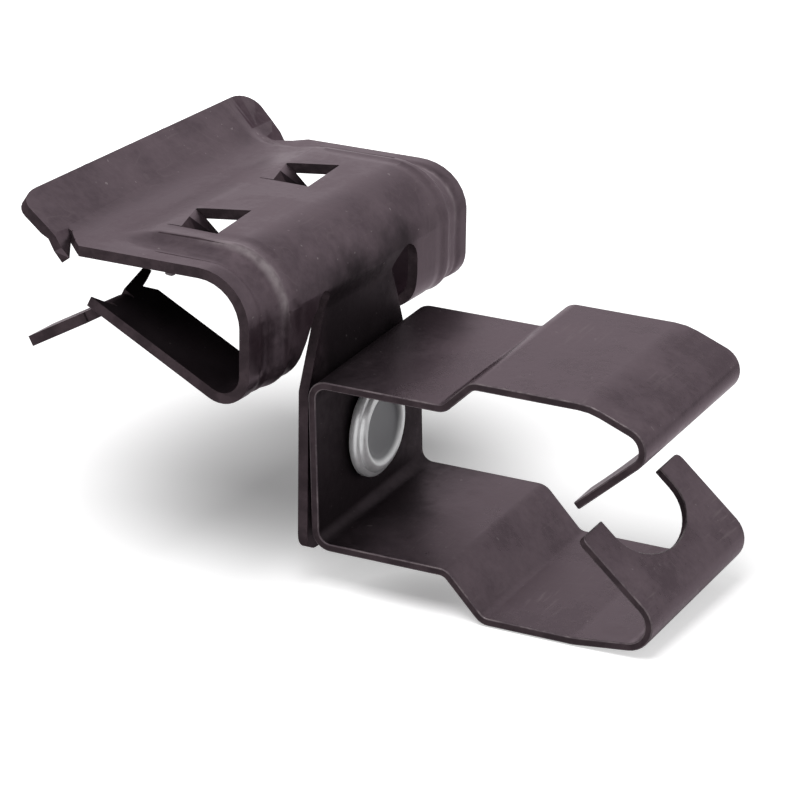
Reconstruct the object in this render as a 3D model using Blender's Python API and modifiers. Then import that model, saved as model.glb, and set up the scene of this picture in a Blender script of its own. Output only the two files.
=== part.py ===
"""Hammer-on beam flange clip with a snap-close conduit clip riveted to its hanging tab.

Two strips of spring steel and a rivet. Each strip is cut as a flat blank and then
folded, as the real ones are: a blank lies in its own (u, v, w) space, with u along the
strip, v across it and w through the sheet, and folding lays u along a bent line.

The frame is the clip as it hangs on a level beam flange: +Z is up, +X points from the
flange lip to the conduit's mouth, and the origin is the seat under the top plate.
"""

import bisect
from math import atan2, cos, hypot, pi, radians, sin, tan

import bmesh
import bpy
from mathutils import Matrix, Vector

MM = 0.001

# The flange clip's sheet and outline, measured on its outer side
FLANGE_SHEET = 1.2 * MM
FLANGE_WIDTH = 50.8 * MM
SEAT_TO_SPINE = 10.0 * MM       # from the origin to the front of the hanging tab
PLATE_LENGTH = 24.5 * MM        # from the lip's crease to the front of the spine
LIP_LENGTH = 6.7 * MM
LIP_RISE = radians(34)
LIP_BEND = 7.0 * MM
LIP_CORNER = 3.6 * MM
LIP_CORNER_NEAR = 2.0 * MM      # how far down each corner is cut
LIP_CORNER_FAR = 2.8 * MM
LIP_SKEW = 0.75 * MM            # the lip's edge lies a little to the far side
LIP_INSET_NEAR = 1.0 * MM       # the lip is cut narrower on the near side
LIP_INSET_FAR = 0.0 * MM
SPINE_HEIGHT = 17.0 * MM        # from the rims' top to the spine's bottom corner
SPINE_BEND = 5.6 * MM
JAW_BEND = 2.8 * MM
JAW_LENGTH = 20.6 * MM
JAW_RISE = radians(27.2)
JAW_LIP_LENGTH = 10.2 * MM
JAW_LIP_FALL = radians(29)
JAW_LIP_BEND = 1.3 * MM
JAW_ARM_WIDTH = 9.4 * MM
JAW_LIP_WIDTH = 5.0 * MM

# The pressed panel, which stands proud of the two rims along the strip's sides
PANEL_RISE = 0.8 * MM
RIM_WIDTH = 3.4 * MM
PANEL_STEP = 3.6 * MM
PANEL_START = 3.5 * MM          # past the lip's crease
PANEL_RUN = 6.0 * MM
TAB_RUN = 2.8 * MM              # short, so that the conduit clip's base clears it as it swivels
LEG_RUN = 5.0 * MM
FAR_RIM_SAG = 0.85 * MM         # the top plate's far rim lies a little low

# The hanging tab and the slots that part it from the two legs
TAB_DROP = 11.4 * MM            # below the rivet
TAB_WIDTH = 23.0 * MM
TAB_NECK = 15.4 * MM
TAB_SHIFT = -0.9 * MM           # the tab is cut a little to the near side of the rivet
TAB_CORNER = 2.0 * MM
TAB_SHOULDER = 2.0 * MM         # from the slots' top to where the tab begins to widen
TAB_TAPER = 9.2 * MM
SLOT_TOP = 18.7 * MM            # above the rivet
LEG_WIDTH = 13.8 * MM
LEG_FLARE_NEAR = 6.4 * MM       # above the jaw's bend, where the leg begins to narrow
LEG_FLARE_FAR = -2.0 * MM       # the far one keeps its width until it is past there
LEG_NARROWING = 9.5 * MM

# Teeth and barbs that bite the flange
LIP_SHEAR_DEPTH = 4.0 * MM
LIP_SHEAR_PLACE = -0.4 * MM     # past the lip's crease, at the shear's inner end
LIP_SHEAR_REACH = 3.4 * MM      # from there to where it meets the strip's side
LIP_SHEAR_WIDTH = 0.7 * MM      # at the strip's side
LIP_TOOTH_ROOT = 0.7 * MM       # how far nearer the lip's edge the tooth's outer root lies
LIP_TOOTH_DROP = radians(42)
JAW_TOOTH_WIDTH = 1.7 * MM
JAW_TOOTH_LENGTH = 2.5 * MM
JAW_TOOTH_GAP = 0.5 * MM
HORN_LENGTH = 6.7 * MM          # inwards from the jaw lip's inner edge
HORN_REACH = 2.9 * MM           # past the crease, at its tip
HORN_SHOULDER = 1.5 * MM        # past the crease, at its root
HORN_ROOT = 3.0 * MM
HORN_TIP = 1.0 * MM
HORN_FILLET = 0.6 * MM
BARB_PLACE = 9.6 * MM           # from the lip's crease to the barb's root
BARB_OFFSET = 10.1 * MM         # from the pair's middle to the barb's middle
BARB_SHIFT = -1.6 * MM          # the pair is cut a little to the near side
BARB_LENGTH = 5.3 * MM
BARB_ROOT = 6.2 * MM
BARB_TIP = 8.4 * MM
BARB_SKEW = 1.9 * MM
BARB_EASE = 0.6 * MM            # keeps its side clear of the plate once it is bent
BARB_DROP = radians(50)
BARB_SLIT = 1.7 * MM
KERF = 0.35 * MM

# The conduit clip's sheet and outline, measured on its outer side
CLIP_SHEET = 0.9 * MM
CLIP_WIDTH = 25.0 * MM
CLIP_HEIGHT = 20.4 * MM
CLIP_BEND = 1.8 * MM
ARM_LENGTH = 16.4 * MM          # from the base's back to the jogs
UPPER_JOG_RUN = 3.5 * MM
UPPER_JOG_RISE = 3.35 * MM
LOWER_JOG_RUN = 4.5 * MM
LOWER_JOG_DROP = 4.9 * MM
JOG_BEND = 1.6 * MM
UPPER_MOUTH_RUN = 14.2 * MM
LOWER_MOUTH_RUN = 11.2 * MM
UPPER_EASE = radians(22)
LOWER_EASE = radians(6.5)
EASE_BEND = 7.0 * MM
UPPER_END_RUN = 9.5 * MM
LOWER_END_RUN = 13.7 * MM
UPPER_HOOK_LENGTH = 13.8 * MM
LOWER_HOOK_LENGTH = 17.0 * MM
UPPER_HOOK_RISE = radians(41)
LOWER_HOOK_RISE = radians(42.5)
UPPER_HOOK_BEND = 2.2 * MM
LOWER_HOOK_BEND = 2.8 * MM
EAR_WIDTH = 4.9 * MM
EAR_CORNER = 0.8 * MM
NOTCH_DEPTH = 7.3 * MM
NOTCH_STRAIGHT = 2.3 * MM
SWIVEL_AT_REST = radians(3.7)   # the clip is turned a little on its rivet

# The rivet
RIVET_DROP = 24.2 * MM          # below the seat
RIVET_SHANK = 2.4 * MM
RIVET_HOLE_CLEARANCE = 0.3 * MM
RIVET_HEAD = 5.8 * MM
RIVET_HEAD_THICKNESS = 1.6 * MM
RIVET_DISH = 4.1 * MM
RIVET_DISH_DEPTH = 0.55 * MM
RIVET_TAIL = 4.2 * MM
RIVET_TAIL_THICKNESS = 1.3 * MM
SEATING_GAP = 0.3 * MM

# How finely round forms are cut
ARC_STEP = radians(11)
ROUND_SIDES = 40
PANEL_STEPS = 5
CUT_REACH = 4.0 * MM

PLATE_TOP = FLANGE_SHEET - PANEL_RISE
RIVET_Z = -RIVET_DROP
SEAT_X = SEAT_TO_SPINE


def smooth_step(value, start, end):
    """Nought before start, one after end, and a soft curve between."""
    share = min(max((value - start) / (end - start), 0.0), 1.0)
    return share * share * (3.0 - 2.0 * share)


def walk(start, moves):
    """Corner points reached from start by (length, heading) moves."""
    points = [Vector(start)]
    for length, heading in moves:
        points.append(points[-1] + length * Vector((cos(heading), sin(heading))))
    return points


class FoldLine:
    """The middle line of a bent strip: corners in the XZ plane, each with a bend radius.

    The corners are those of the strip's outer side. The sheet's outer side lies to the
    left of the way the line runs.
    """

    def __init__(self, corners, radii, sheet):
        middle = self.inset(corners, sheet / 2)
        self.runs = []          # (start of run, kind, data)
        self.bends = []         # (first u, last u) of each bend
        self.length = 0.0
        here = middle[0]
        for i, radius in enumerate(radii, start=1):
            into = (middle[i] - middle[i - 1]).normalized()
            out = (middle[i + 1] - middle[i]).normalized()
            sweep = atan2(into.x * out.y - into.y * out.x, into.dot(out))
            reach = radius * tan(abs(sweep) / 2)
            begin = middle[i] - reach * into
            self.add_straight(here, begin)
            self.add_bend(begin, into, radius, sweep)
            here = middle[i] + reach * out
        self.add_straight(here, middle[-1])

    @staticmethod
    def inset(corners, distance):
        """The corners moved to the right of the way, by the same distance on each side."""
        points = []
        for i, corner in enumerate(corners):
            sides = []
            for a, b in ((i - 1, i), (i, i + 1)):
                if a >= 0 and b < len(corners):
                    way = (corners[b] - corners[a]).normalized()
                    sides.append(Vector((way.y, -way.x)))
            mean = sum(sides, Vector((0, 0))).normalized()
            points.append(corner + mean * distance / mean.dot(sides[0]))
        return points

    def add_straight(self, a, b):
        self.runs.append((self.length, "straight", (a, (b - a).normalized())))
        self.length += (b - a).length

    def add_bend(self, begin, way, radius, sweep):
        side = 1 if sweep > 0 else -1
        centre = begin + side * radius * Vector((-way.y, way.x))
        self.runs.append((self.length, "bend", (centre, begin - centre, way, side / radius)))
        self.bends.append((self.length, self.length + radius * abs(sweep)))
        self.length += radius * abs(sweep)

    def at(self, u):
        """The point and the outward normal at u; both ends run on straight."""
        starts = [run[0] for run in self.runs]
        start, kind, data = self.runs[max(bisect.bisect_right(starts, u) - 1, 0)]
        if kind == "straight":
            origin, way = data
            return origin + (u - start) * way, Vector((-way.y, way.x))
        centre, arm, way, curve = data
        turn = Matrix.Rotation((u - start) * curve, 2)
        way = turn @ way
        return centre + turn @ arm, Vector((-way.y, way.x))

    def stations(self):
        """The u of each cut across the strip that its bends need."""
        cuts = []
        for first, last in self.bends:
            i = self.bends.index((first, last))
            curve = abs(self.runs[2 * i + 1][2][3])
            count = max(2, round((last - first) * curve / ARC_STEP))
            cuts += [first + (last - first) * k / count for k in range(count + 1)]
        return cuts


def flange_corners():
    """The flange clip's outer side, from the lip's edge down to the jaw lip's end."""
    crease = Vector((SEAT_X - PLATE_LENGTH, PLATE_TOP))
    lip_edge = crease + LIP_LENGTH * Vector((-cos(LIP_RISE), sin(LIP_RISE)))
    return [lip_edge] + walk(crease, [
        (PLATE_LENGTH, 0.0),
        (SPINE_HEIGHT, -pi / 2),
        (JAW_LENGTH, pi - JAW_RISE),
        (JAW_LIP_LENGTH, pi + JAW_LIP_FALL),
    ])


def clip_corners():
    """The conduit clip's outer side, from the lower hook's ears round to the upper ones."""
    back = SEAT_X + SEATING_GAP
    top = RIVET_Z + CLIP_HEIGHT / 2
    upper = walk((back, top), [
        (ARM_LENGTH, 0.0),
        (hypot(UPPER_JOG_RUN, UPPER_JOG_RISE), atan2(UPPER_JOG_RISE, UPPER_JOG_RUN)),
        (UPPER_MOUTH_RUN, 0.0),
        (UPPER_END_RUN, -UPPER_EASE),
        (UPPER_HOOK_LENGTH, pi + UPPER_HOOK_RISE),
    ])
    lower = walk((back, top - CLIP_HEIGHT), [
        (ARM_LENGTH, 0.0),
        (hypot(LOWER_JOG_RUN, LOWER_JOG_DROP), -atan2(LOWER_JOG_DROP, LOWER_JOG_RUN)),
        (LOWER_MOUTH_RUN, 0.0),
        (LOWER_END_RUN, LOWER_EASE),
        (LOWER_HOOK_LENGTH, pi - LOWER_HOOK_RISE),
    ])
    return lower[::-1] + upper


FLANGE_LINE = FoldLine(flange_corners(), [LIP_BEND, SPINE_BEND, JAW_BEND, JAW_LIP_BEND], FLANGE_SHEET)
TAB_LINE = FoldLine(flange_corners()[:3] + [Vector((SEAT_X, RIVET_Z - TAB_DROP))],
                    [LIP_BEND, SPINE_BEND], FLANGE_SHEET)
TOOTH_LINE = FoldLine(flange_corners()[:5], [LIP_BEND, SPINE_BEND, JAW_BEND], FLANGE_SHEET)
CLIP_LINE = FoldLine(
    clip_corners(),
    [LOWER_HOOK_BEND, EASE_BEND, JOG_BEND, JOG_BEND, CLIP_BEND,
     CLIP_BEND, JOG_BEND, JOG_BEND, EASE_BEND, UPPER_HOOK_BEND],
    CLIP_SHEET)

HALF_WIDTH = FLANGE_WIDTH / 2
LEG_INSIDE = HALF_WIDTH - LEG_WIDTH
NEAR, FAR = -1, 1
LEG_FLARE = {NEAR: LEG_FLARE_NEAR, FAR: LEG_FLARE_FAR}
JAW_ARM_INSIDE = HALF_WIDTH - JAW_ARM_WIDTH
JAW_LIP_INSIDE = HALF_WIDTH - JAW_LIP_WIDTH
RIVET_U = TAB_LINE.length - TAB_DROP
SLOT_U = RIVET_U - SLOT_TOP
PLATE_U = FLANGE_LINE.bends[0][1]       # where the flat of the top plate begins
PLATE_X = FLANGE_LINE.at(PLATE_U)[0].x
CREASE_X = SEAT_X - PLATE_LENGTH
JAW_CREASE_U = FLANGE_LINE.bends[3][0]
LEG_FADE_U = FLANGE_LINE.bends[2][0] - LEG_RUN / 4


def plate_u(past_crease):
    """The u of a place on the top plate, from its distance past the lip's crease."""
    return PLATE_U + CREASE_X + past_crease - PLATE_X


def arc(centre, radius, first, last, steps):
    """Points along an arc, both ends included."""
    angles = [first + (last - first) * i / steps for i in range(steps + 1)]
    return [(centre[0] + radius * cos(a), centre[1] + radius * sin(a)) for a in angles]


def mirrored(outline):
    """An outline reflected across the strip's middle, still running the same way round."""
    return [(u, -v) for u, v in reversed(outline)]


def collection(name):
    found = bpy.data.collections.new(name)
    bpy.context.scene.collection.children.link(found)
    return found


def link(name, mesh, where):
    obj = bpy.data.objects.new(name, mesh)
    where.objects.link(obj)
    return obj


def prism(name, outline, where):
    """A cutter: an outline in (u, v) carried right through a blank."""
    curve = bpy.data.curves.new(name, "CURVE")
    curve.dimensions = "2D"
    curve.fill_mode = "BOTH"
    curve.extrude = CUT_REACH
    spline = curve.splines.new("POLY")
    spline.points.add(len(outline) - 1)
    for point, (u, v) in zip(spline.points, outline):
        point.co = (u, v, 0, 1)
    spline.use_cyclic_u = True
    flat = link(name + "_outline", curve, where)
    return to_mesh(flat, name, where)


def to_mesh(source, name, where):
    """The evaluated object as a mesh object of its own, welded closed."""
    evaluated = source.evaluated_get(bpy.context.evaluated_depsgraph_get())
    mesh = bpy.data.meshes.new_from_object(evaluated)
    mesh.name = name
    work = bmesh.new()
    work.from_mesh(mesh)
    bmesh.ops.remove_doubles(work, verts=work.verts, dist=1e-7)
    if work.calc_volume(signed=True) < 0:
        bmesh.ops.reverse_faces(work, faces=work.faces)
    work.to_mesh(mesh)
    work.free()
    bpy.data.objects.remove(source)
    return link(name, mesh, where)


def blank(name, length, width, sheet, cuts_along, cuts_across, where):
    """A flat strip, already cut across where it will bend."""
    work = bmesh.new()
    bmesh.ops.create_cube(work, size=1.0)
    bmesh.ops.scale(work, vec=(length, width, sheet), verts=work.verts)
    bmesh.ops.translate(work, vec=(length / 2, 0, 0), verts=work.verts)
    for axis, cuts in ((0, cuts_along), (1, cuts_across)):
        for cut in cuts:
            place = Vector((0, 0, 0))
            place[axis] = cut
            normal = Vector((0, 0, 0))
            normal[axis] = 1.0
            every = work.verts[:] + work.edges[:] + work.faces[:]
            bmesh.ops.bisect_plane(work, geom=every, plane_co=place, plane_no=normal)
    mesh = bpy.data.meshes.new(name)
    work.to_mesh(mesh)
    work.free()
    return link(name, mesh, where)


def cut(target, cutters):
    """The target with the cutters taken out, as a plain mesh."""
    for cutter in cutters:
        cutter.hide_render = True
        cutter.display_type = "WIRE"
        hole = target.modifiers.new(cutter.name, "BOOLEAN")
        hole.operation = "DIFFERENCE"
        hole.solver = "EXACT"
        hole.object = cutter
    name = target.name
    where = target.users_collection[0]
    target.name = name + "_blank"
    return to_mesh(target, name, where)


def between(point, a, b):
    """How far a point lies to the left of the way from a to b."""
    way = (Vector(b) - Vector(a)).normalized()
    return way.x * (point[1] - a[1]) - way.y * (point[0] - a[0])


def inside(point, outline):
    """Whether a point lies in a convex outline that runs anticlockwise."""
    sides = zip(outline, outline[1:] + outline[:1])
    return all(between(point, a, b) > -1e-7 for a, b in sides)


def turn_down(work, hinge, outline, angle):
    """Bends the part of a blank inside an outline about its hinge line, out of the sheet.

    The hinge runs so that what bends lies to its left; a positive angle bends it down.
    """
    a, b = (Vector((point[0], point[1], 0)) for point in hinge)
    normal = (b - a).cross(Vector((0, 0, 1))).normalized()
    faces = [face for face in work.faces if inside(face.calc_center_median(), outline)]
    near = {item for face in faces for item in (*face.verts, *face.edges, face)}
    bmesh.ops.bisect_plane(work, geom=list(near), plane_co=a, plane_no=normal)
    turn = Matrix.Rotation(-angle, 4, b - a)
    for vert in work.verts:
        if inside(vert.co, outline) and between(vert.co, hinge[0], hinge[1]) > 1e-6:
            vert.co = a + turn.to_3x3() @ (vert.co - a)


def fold(obj, place):
    """Folds a blank: place gives each (u, v, w) its point in the object's frame."""
    work = bmesh.new()
    work.from_mesh(obj.data)
    bmesh.ops.triangulate(work, faces=work.faces)
    for vert in work.verts:
        vert.co = place(*vert.co)
    work.to_mesh(obj.data)
    work.free()


def finish(obj, material, sharp=radians(35)):
    obj.data.materials.clear()
    obj.data.materials.append(material)
    obj.data.shade_smooth()
    obj.data.set_sharp_from_angle(angle=sharp)


def tab_edge(u, side):
    """How far the tab's side is from the middle at u."""
    taper = (u - SLOT_U - TAB_SHOULDER) / TAB_TAPER
    half = TAB_NECK / 2 + min(max(taper, 0.0), 1.0) * (TAB_WIDTH - TAB_NECK) / 2
    return half + side * TAB_SHIFT


def leg_edge(u, side):
    """How far a leg's inner side is from the middle at u."""
    start = FLANGE_LINE.bends[2][0] - LEG_FLARE[side]
    narrowing = smooth_step(u, start, start + LEG_NARROWING)
    return LEG_INSIDE + narrowing * (JAW_ARM_INSIDE - LEG_INSIDE)


def parting(u, side):
    """How far out from the middle the tab's side of the slot ends and the leg's begins."""
    tab, leg = tab_edge(u, side), leg_edge(u, side)
    return (tab + leg) / 2 if u < FLANGE_LINE.bends[2][0] else tab + KERF


def slot_half(side):
    """Half of the cut round the hanging tab, which also frees a leg, a jaw and its horn."""
    tab_end = TAB_LINE.length
    half_tab = tab_edge(tab_end, side)
    neck, leg = tab_edge(SLOT_U, side), leg_edge(SLOT_U, side)
    radius = (leg - neck) / 2
    crease = JAW_CREASE_U
    corner = arc((tab_end - TAB_CORNER, half_tab - TAB_CORNER), TAB_CORNER, 0, pi / 2, 6)
    taper = SLOT_U + TAB_SHOULDER
    tab_side = [(taper + TAB_TAPER, half_tab), (taper + TAB_TAPER / 3, tab_edge(taper + TAB_TAPER / 3, side))]
    slot_top = arc((SLOT_U + radius, (neck + leg) / 2), radius, pi * 1.5, pi / 2, 10)
    flare_start = FLANGE_LINE.bends[2][0] - LEG_FLARE[side]
    flare = [flare_start + LEG_NARROWING * i / 10 for i in range(11)]
    flare = [u for u in flare if u > SLOT_U + radius]
    horn_tip = JAW_LIP_INSIDE - HORN_LENGTH
    jaw = [(crease - HORN_FILLET, JAW_ARM_INSIDE), (crease + HORN_SHOULDER / 2, JAW_LIP_INSIDE - HORN_ROOT),
           (crease + HORN_REACH - HORN_TIP, horn_tip), (crease + HORN_REACH, horn_tip),
           (crease + HORN_SHOULDER, JAW_LIP_INSIDE - KERF), (crease - KERF / 4, JAW_LIP_INSIDE - KERF / 2),
           (crease - KERF / 4, JAW_LIP_INSIDE),
           (FLANGE_LINE.length + CUT_REACH, JAW_LIP_INSIDE)]
    return corner + tab_side + slot_top + [(u, leg_edge(u, side)) for u in flare] + jaw


def slot_outline():
    """The whole cut round the hanging tab, out to the jaws' free ends."""
    return slot_half(FAR) + mirrored(slot_half(NEAR))


def lip_side_outline(depth, inset):
    """What is cut off a side of the lip: its corner, down to a depth, and an inset to the tooth's tip."""
    flat = depth / LIP_CORNER
    side = HALF_WIDTH - inset
    round_off = [(u * flat, v) for u, v in
                 arc((LIP_CORNER, side - LIP_CORNER), LIP_CORNER, pi, pi / 2, 7)]
    shear = [(shear_u(v), v) for v in (side, HALF_WIDTH + CUT_REACH)] if inset > 0 else [
        (depth, HALF_WIDTH + CUT_REACH)]
    return round_off + shear + [(-CUT_REACH, HALF_WIDTH + CUT_REACH), (-CUT_REACH, side - LIP_CORNER)]


def shear_u(v):
    """Where the middle of the lip's shear lies at a distance from the strip's middle."""
    share = (v - HALF_WIDTH + LIP_SHEAR_DEPTH) / LIP_SHEAR_DEPTH
    return plate_u(LIP_SHEAR_PLACE) + LIP_SHEAR_REACH * share


def lip_shear():
    """The slanting cut that frees the lip's tooth from the top plate, inner end first."""
    u = plate_u(LIP_SHEAR_PLACE)
    flare = LIP_SHEAR_WIDTH / 2 * (LIP_SHEAR_DEPTH + CUT_REACH) / LIP_SHEAR_DEPTH
    apex = (u, HALF_WIDTH - LIP_SHEAR_DEPTH)
    outside = HALF_WIDTH + CUT_REACH
    return [apex, (shear_u(outside) + flare, outside), (shear_u(outside) - flare, outside)]


def lip_tooth():
    """The corner of the lip that is bent down beside the shear, with its hinge first."""
    u = plate_u(LIP_SHEAR_PLACE)
    apex = (u, HALF_WIDTH - LIP_SHEAR_DEPTH)
    side = (u - LIP_TOOTH_ROOT, HALF_WIDTH)
    edge = (u + LIP_SHEAR_REACH - LIP_SHEAR_WIDTH / 2, HALF_WIDTH)
    return [side, apex, edge]


def jaw_tooth_cut():
    """The slit that frees the small tooth at a jaw's outer side, from the crease outwards."""
    crease = JAW_CREASE_U
    tip = crease + JAW_TOOTH_LENGTH
    root = HALF_WIDTH - JAW_TOOTH_WIDTH
    return [(crease - KERF / 4, root), (crease + JAW_TOOTH_GAP, root - KERF / 2),
            (tip + JAW_TOOTH_GAP, HALF_WIDTH - KERF), (tip + JAW_TOOTH_GAP, HALF_WIDTH + CUT_REACH),
            (tip, HALF_WIDTH + CUT_REACH), (tip, HALF_WIDTH - KERF / 4)]


def barb(side):
    """A barb's corners in the blank: near root, near tip, far tip, far root."""
    middle = side * BARB_OFFSET + BARB_SHIFT
    near = middle - BARB_TIP / 2
    root = plate_u(BARB_PLACE)
    tip = root + BARB_LENGTH
    return [(root + BARB_SKEW / 2, near), (tip, near + BARB_EASE),
            (tip - BARB_SKEW / 2, near + BARB_TIP), (root - BARB_SKEW / 2, near + BARB_ROOT)]


def barb_cut(side):
    """The shear cut round a barb, with the short slit beside its root."""
    near_root, near_tip, far_tip, far_root = barb(side)
    return [
        (near_root[0] - BARB_SLIT, near_root[1] - KERF / 2),
        (near_tip[0] + KERF, near_root[1] - KERF),
        (far_tip[0] + KERF, far_tip[1] + KERF),
        (far_root[0], far_root[1] + KERF),
        far_root,
        far_tip,
        near_tip,
        near_root,
        (near_root[0] - BARB_SLIT, near_root[1]),
    ]


def hook_notch():
    """The round-bottomed notch that parts a hook's end into two ears."""
    half = CLIP_WIDTH / 2 - EAR_WIDTH
    deep = NOTCH_DEPTH - NOTCH_STRAIGHT
    bottom = [(NOTCH_STRAIGHT + deep * cos(a), half * sin(a))
              for a in (pi * (i / 20 - 0.5) for i in range(21))]
    return bottom + [(-CUT_REACH, half), (-CUT_REACH, -half)]


def ear_corner():
    """What is cut off the outer corner of an ear."""
    half = CLIP_WIDTH / 2
    round_off = arc((EAR_CORNER, half - EAR_CORNER), EAR_CORNER, pi, pi / 2, 3)
    return round_off + [(EAR_CORNER, half + CUT_REACH), (-CUT_REACH, half + CUT_REACH),
                        (-CUT_REACH, half - EAR_CORNER)]


def turned_round(outline, length):
    """An outline moved from one end of a strip to the same place at the other."""
    return [(length - u, v) for u, v in reversed(outline)]


def panel_height(u, v, u_end, run):
    """How far the pressed panel stands out at a place on the strip."""
    edge = HALF_WIDTH - RIM_WIDTH
    across = 1.0 - smooth_step(abs(v), edge - PANEL_STEP, edge)
    start = plate_u(PANEL_START)
    along = smooth_step(u, start, start + PANEL_RUN) * (1.0 - smooth_step(u, u_end, u_end + run))
    return PANEL_RISE * across * along


def rim_sag(u, v):
    """How far the top plate's far rim lies below the near one."""
    spine_start, spine_end = FLANGE_LINE.bends[1]
    edge = HALF_WIDTH - RIM_WIDTH
    along = smooth_step(u, 0.0, PLATE_U) * (1.0 - smooth_step(u, spine_start, spine_end))
    return FAR_RIM_SAG * smooth_step(v, edge - PANEL_STEP, edge) * along


def place_flange(u, v, w):
    """Where a point of the flange clip's blank comes to lie."""
    across = abs(v)
    side = FAR if v > 0 else NEAR
    line, fade_start, fade_run = FLANGE_LINE, LEG_FADE_U, LEG_RUN
    if u > SLOT_U and across < parting(u, side):
        line, fade_start, fade_run = TAB_LINE, SLOT_U, TAB_RUN
    elif u > JAW_CREASE_U and on_tooth(u - JAW_CREASE_U, across):
        line = TOOTH_LINE
    point, normal = line.at(u)
    point = point + (w + panel_height(u, v, fade_start, fade_run) - rim_sag(u, v)) * normal
    return Vector((point.x, v + LIP_SKEW * (1.0 - smooth_step(u, 0.0, PLATE_U)), point.y))


def on_tooth(past_crease, across):
    """Whether a point past the jaw's crease is on a horn or tooth that stays on the jaw's slope."""
    tooth_side = HALF_WIDTH - JAW_TOOTH_WIDTH + past_crease * JAW_TOOTH_WIDTH / JAW_TOOTH_LENGTH / 1.6
    on_side = across > tooth_side and past_crease < JAW_TOOTH_LENGTH + JAW_TOOTH_GAP / 2
    return on_side or across < JAW_LIP_INSIDE - KERF / 4


def build_flange_clip(parts, cutters, steel):
    """The folded flange clip, with its jaws, teeth, barbs and hanging tab."""
    edge = HALF_WIDTH - RIM_WIDTH
    steps = [edge - PANEL_STEP * i / PANEL_STEPS for i in range(PANEL_STEPS + 1)]
    start = plate_u(PANEL_START)
    fades = [start + PANEL_RUN * i / 4 for i in range(5)]
    fades += [SLOT_U + TAB_RUN * i / 4 for i in range(5)]
    fades += [LEG_FADE_U + LEG_RUN * i / 4 for i in range(5)]
    body = blank("flange_clip", FLANGE_LINE.length, FLANGE_WIDTH, FLANGE_SHEET,
                 FLANGE_LINE.stations() + fades, steps + [-s for s in steps], parts)
    near_side = lip_side_outline(LIP_CORNER_NEAR, LIP_INSET_NEAR)
    shapes = [("tab_slots", slot_outline()), ("lip_side_near", mirrored(near_side)),
              ("lip_side_far", lip_side_outline(LIP_CORNER_FAR, LIP_INSET_FAR))]
    for name, outline in (("lip_shear", lip_shear()), ("jaw_tooth", jaw_tooth_cut())):
        shapes += [(name + "_near", mirrored(outline)), (name + "_far", outline)]
    shapes += [("barb_near", barb_cut(-1)), ("barb_far", barb_cut(1))]
    hole = arc((RIVET_U, 0), RIVET_SHANK + RIVET_HOLE_CLEARANCE, 0, 2 * pi, ROUND_SIDES)[:-1]
    shapes.append(("tab_hole", hole))
    body = cut(body, [prism(name, outline, cutters) for name, outline in shapes])
    work = bmesh.new()
    work.from_mesh(body.data)
    for side in (-1, 1):
        corners = barb(side)
        turn_down(work, (corners[3], corners[0]), corners, BARB_DROP)
        tooth = lip_tooth()
        if side > 0:
            turn_down(work, (tooth[0], tooth[1]), tooth, LIP_TOOTH_DROP)
        else:
            other = [(u, -v) for u, v in tooth]
            turn_down(work, (other[1], other[0]), other[::-1], LIP_TOOTH_DROP)
    work.to_mesh(body.data)
    work.free()
    fold(body, place_flange)
    finish(body, steel)
    return body


def build_conduit_clip(parts, cutters, steel):
    """The folded snap-close clip: base, jogged arms and two hooks that end in notched ears."""
    body = blank("conduit_clip", CLIP_LINE.length, CLIP_WIDTH, CLIP_SHEET, CLIP_LINE.stations(), [], parts)
    notch = hook_notch()
    corner = ear_corner()
    other_end = CLIP_LINE.length
    base_u = (CLIP_LINE.bends[4][1] + CLIP_LINE.bends[5][0]) / 2
    hole = arc((base_u, 0), RIVET_SHANK + RIVET_HOLE_CLEARANCE, 0, 2 * pi, ROUND_SIDES)[:-1]
    shapes = [("base_hole", hole), ("lower_notch", notch), ("upper_notch", turned_round(notch, other_end))]
    for name, outline in (("far", corner), ("near", mirrored(corner))):
        shapes += [("lower_corner_" + name, outline),
                   ("upper_corner_" + name, turned_round(outline, other_end))]
    body = cut(body, [prism(name, outline, cutters) for name, outline in shapes])

    def place(u, v, w):
        point, normal = CLIP_LINE.at(u)
        point = point + w * normal
        return Vector((point.x - SEAT_X, v, point.y - RIVET_Z))

    fold(body, place)
    finish(body, steel)
    body.location = (SEAT_X, 0, RIVET_Z)
    body.rotation_euler = (SWIVEL_AT_REST, 0, 0)
    return body


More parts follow.
